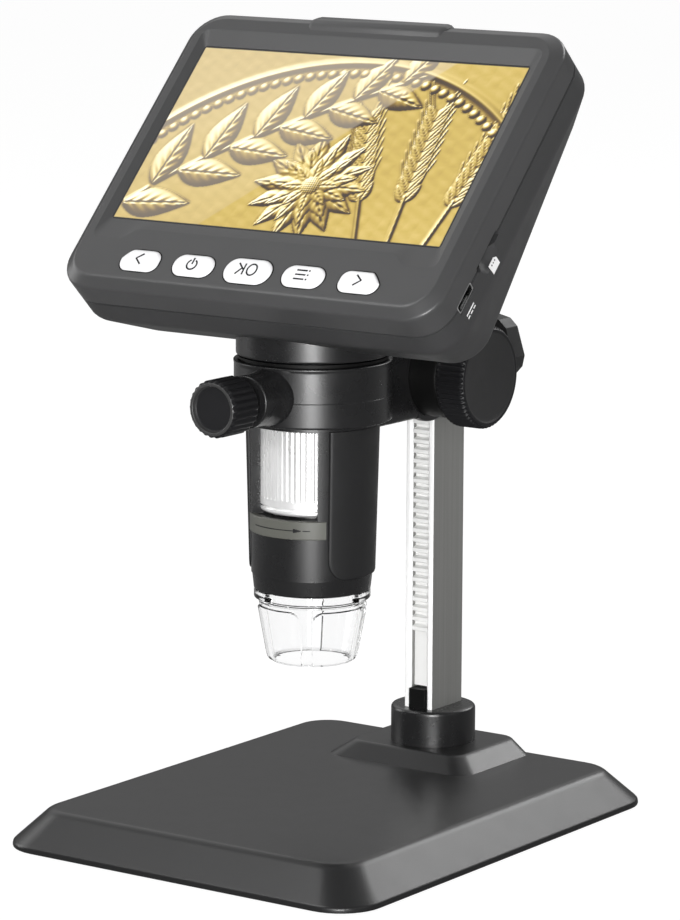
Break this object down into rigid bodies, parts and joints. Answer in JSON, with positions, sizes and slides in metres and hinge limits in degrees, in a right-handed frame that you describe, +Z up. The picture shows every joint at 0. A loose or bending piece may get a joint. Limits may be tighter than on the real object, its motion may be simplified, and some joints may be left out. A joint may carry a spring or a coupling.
{
  "type": "lcd digital microscope",
  "caption": "Desktop digital microscope with a tilted display housing on a barrel, held by a rack-and-pinion carriage on a column and bevelled base.",
  "frame": {"origin": "middle of the base's underside, on the table", "axes": "+Z up; -Y towards the user and the screen's lower edge; +X to the right as the user faces the screen"},
  "size_m": [0.1104, 0.1359, 0.1956],
  "materials": {
    "base_cover": "satin black paint",
    "base_plate": "zinc plated sheet",
    "base_mat": "matt sheet rubber",
    "plate_screws": "plated",
    "column_bolt": "plated",
    "column_socket": "moulded black",
    "socket_clip": "moulded black",
    "column": "satin anodised",
    "rack": "pale acetal",
    "column_cap": "moulded black",
    "bracket": "satin black",
    "gib_pad": "natural nylon",
    "bearing_cap_right": "moulded black",
    "bearing_cap_left": "moulded black",
    "pinion_shaft": "turned",
    "focus_knob_right": "moulded black",
    "focus_knob_left": "moulded black",
    "lock_knob": "moulded black",
    "lock_screw": "turned",
    "thumb_knob": "moulded black",
    "thumb_screw": "turned",
    "collar_liner": "moulded black",
    "barrel_shell": "satin black",
    "side_grip_right": "satin black",
    "side_grip_left": "satin black",
    "arrow_plate": "dark olive grey",
    "nose_ring": "satin black",
    "guide_tube": "black anodised",
    "sensor_board": "circuit board",
    "image_sensor": "chip",
    "led_board": "white circuit board",
    "leds": "clear epoxy",
    "objective_window": "clear",
    "front_bezel": "satin charcoal",
    "rear_shell": "satin charcoal",
    "screen_glass": "glossy",
    "lcd_panel": "display module",
    "main_board": "circuit board",
    "battery": "foil pouch",
    "tact_switches": "moulded",
    "usb_port": "plated",
    "card_socket": "plated",
    "housing_screws": "black plated",
    "dimmer_pot": "moulded",
    "focus_wheel": "bright anodised",
    "lens_carrier": "moulded black",
    "lens": "coated",
    "hood": "clear polycarbonate",
    "dimmer_wheel": "moulded black",
    "button_left": "white",
    "button_power": "white",
    "button_ok": "white",
    "button_menu": "white",
    "button_right": "white"
  },
  "bodies": {
    "stand": {"base_cover": "base_cover", "base_plate": "base_plate", "base_mat": "base_mat", "plate_screws": "plate_screws", "column_bolt": "column_bolt", "column_socket": "column_socket", "socket_clip": "socket_clip", "column": "column", "rack": "rack", "column_cap": "column_cap"},
    "carriage": {"bracket": "bracket", "gib_pad": "gib_pad", "bearing_cap_right": "bearing_cap_right", "bearing_cap_left": "bearing_cap_left"},
    "focus_shaft": {"pinion_shaft": "pinion_shaft", "focus_knob_right": "focus_knob_right", "focus_knob_left": "focus_knob_left"},
    "carriage_lock": {"lock_knob": "lock_knob", "lock_screw": "lock_screw"},
    "barrel_clamp": {"thumb_knob": "thumb_knob", "thumb_screw": "thumb_screw"},
    "swivel_sleeve": {"collar_liner": "collar_liner"},
    "microscope": {"barrel_shell": "barrel_shell", "side_grip_right": "side_grip_right", "side_grip_left": "side_grip_left", "arrow_plate": "arrow_plate", "nose_ring": "nose_ring", "guide_tube": "guide_tube", "sensor_board": "sensor_board", "image_sensor": "image_sensor", "led_board": "led_board", "leds": "leds", "objective_window": "objective_window", "front_bezel": "front_bezel", "rear_shell": "rear_shell", "screen_glass": "screen_glass", "lcd_panel": "lcd_panel", "main_board": "main_board", "battery": "battery", "tact_switches": "tact_switches", "usb_port": "usb_port", "card_socket": "card_socket", "housing_screws": "housing_screws", "dimmer_pot": "dimmer_pot"},
    "focus_ring": {"focus_wheel": "focus_wheel"},
    "lens_cell": {"lens_carrier": "lens_carrier", "lens": "lens"},
    "clear_hood": {"hood": "hood"},
    "dimmer": {"dimmer_wheel": "dimmer_wheel"},
    "key_left": {"button_left": "button_left"},
    "key_power": {"button_power": "button_power"},
    "key_ok": {"button_ok": "button_ok"},
    "key_menu": {"button_menu": "button_menu"},
    "key_right": {"button_right": "button_right"}
  },
  "joints": [
    {"name": "carriage_slide", "type": "slide", "parent": "stand", "child": "carriage", "axis": [0, 0, 1], "range_m": [-0.024, 0.025]},
    {"name": "focus_knob_turn", "type": "hinge", "parent": "carriage", "child": "focus_shaft", "pos_m": [0, 0.0336, 0.1089], "axis": [-1, 0, 0], "range_deg": [-310, 310]},
    {"name": "lock_knob_turn", "type": "hinge", "parent": "carriage", "child": "carriage_lock", "pos_m": [0, 0.0638, 0.1096], "axis": [0, 1, 0], "range_deg": [-90, 90]},
    {"name": "thumb_screw_turn", "type": "hinge", "parent": "carriage", "child": "barrel_clamp", "pos_m": [0, -0.039, 0.1097], "axis": [0, -1, 0], "range_deg": [-90, 90]},
    {"name": "barrel_swivel", "type": "hinge", "parent": "carriage", "child": "swivel_sleeve", "pos_m": [0, -0.00846, 0.11], "axis": [0, 0, 1], "range_deg": [-12, 12]},
    {"name": "microscope_lift_off", "type": "slide", "parent": "swivel_sleeve", "child": "microscope", "axis": [0, 0, 1], "range_m": [0, 0.078]},
    {"name": "focus_wheel_turn", "type": "hinge", "parent": "microscope", "child": "focus_ring", "pos_m": [0, -0.00846, 0.0905], "axis": [0, 0, 1], "range_deg": [-150, 150]},
    {"name": "lens_cell_slide", "type": "slide", "parent": "microscope", "child": "lens_cell", "axis": [0, 0, 1], "range_m": [-0.0039, 0.0039]},
    {"name": "hood_pull", "type": "slide", "parent": "microscope", "child": "clear_hood", "axis": [0, 0, -1], "range_m": [0, 0.008]},
    {"name": "dimmer_turn", "type": "hinge", "parent": "microscope", "child": "dimmer", "pos_m": [-0.0508, -0.01362, 0.14713], "axis": [0, -0.7191, 0.6949], "range_deg": [-140, 140]},
    {"name": "press_left", "type": "slide", "parent": "microscope", "child": "key_left", "axis": [0, 0.7191, -0.6949], "range_m": [0, 0.0004], "stiffness_N_per_m": 1500},
    {"name": "press_power", "type": "slide", "parent": "microscope", "child": "key_power", "axis": [0, 0.7191, -0.6949], "range_m": [0, 0.0004], "stiffness_N_per_m": 1500},
    {"name": "press_ok", "type": "slide", "parent": "microscope", "child": "key_ok", "axis": [0, 0.7191, -0.6949], "range_m": [0, 0.0004], "stiffness_N_per_m": 1500},
    {"name": "press_menu", "type": "slide", "parent": "microscope", "child": "key_menu", "axis": [0, 0.7191, -0.6949], "range_m": [0, 0.0004], "stiffness_N_per_m": 1500},
    {"name": "press_right", "type": "slide", "parent": "microscope", "child": "key_right", "axis": [0, 0.7191, -0.6949], "range_m": [0, 0.0004], "stiffness_N_per_m": 1500}
  ],
  "couplings": [
    {"joint": "focus_knob_turn", "follows": "carriage_slide", "rad_per_m": 208.33},
    {"joint": "focus_wheel_turn", "follows": "lens_cell_slide", "rad_per_m": 666.67}
  ]
}
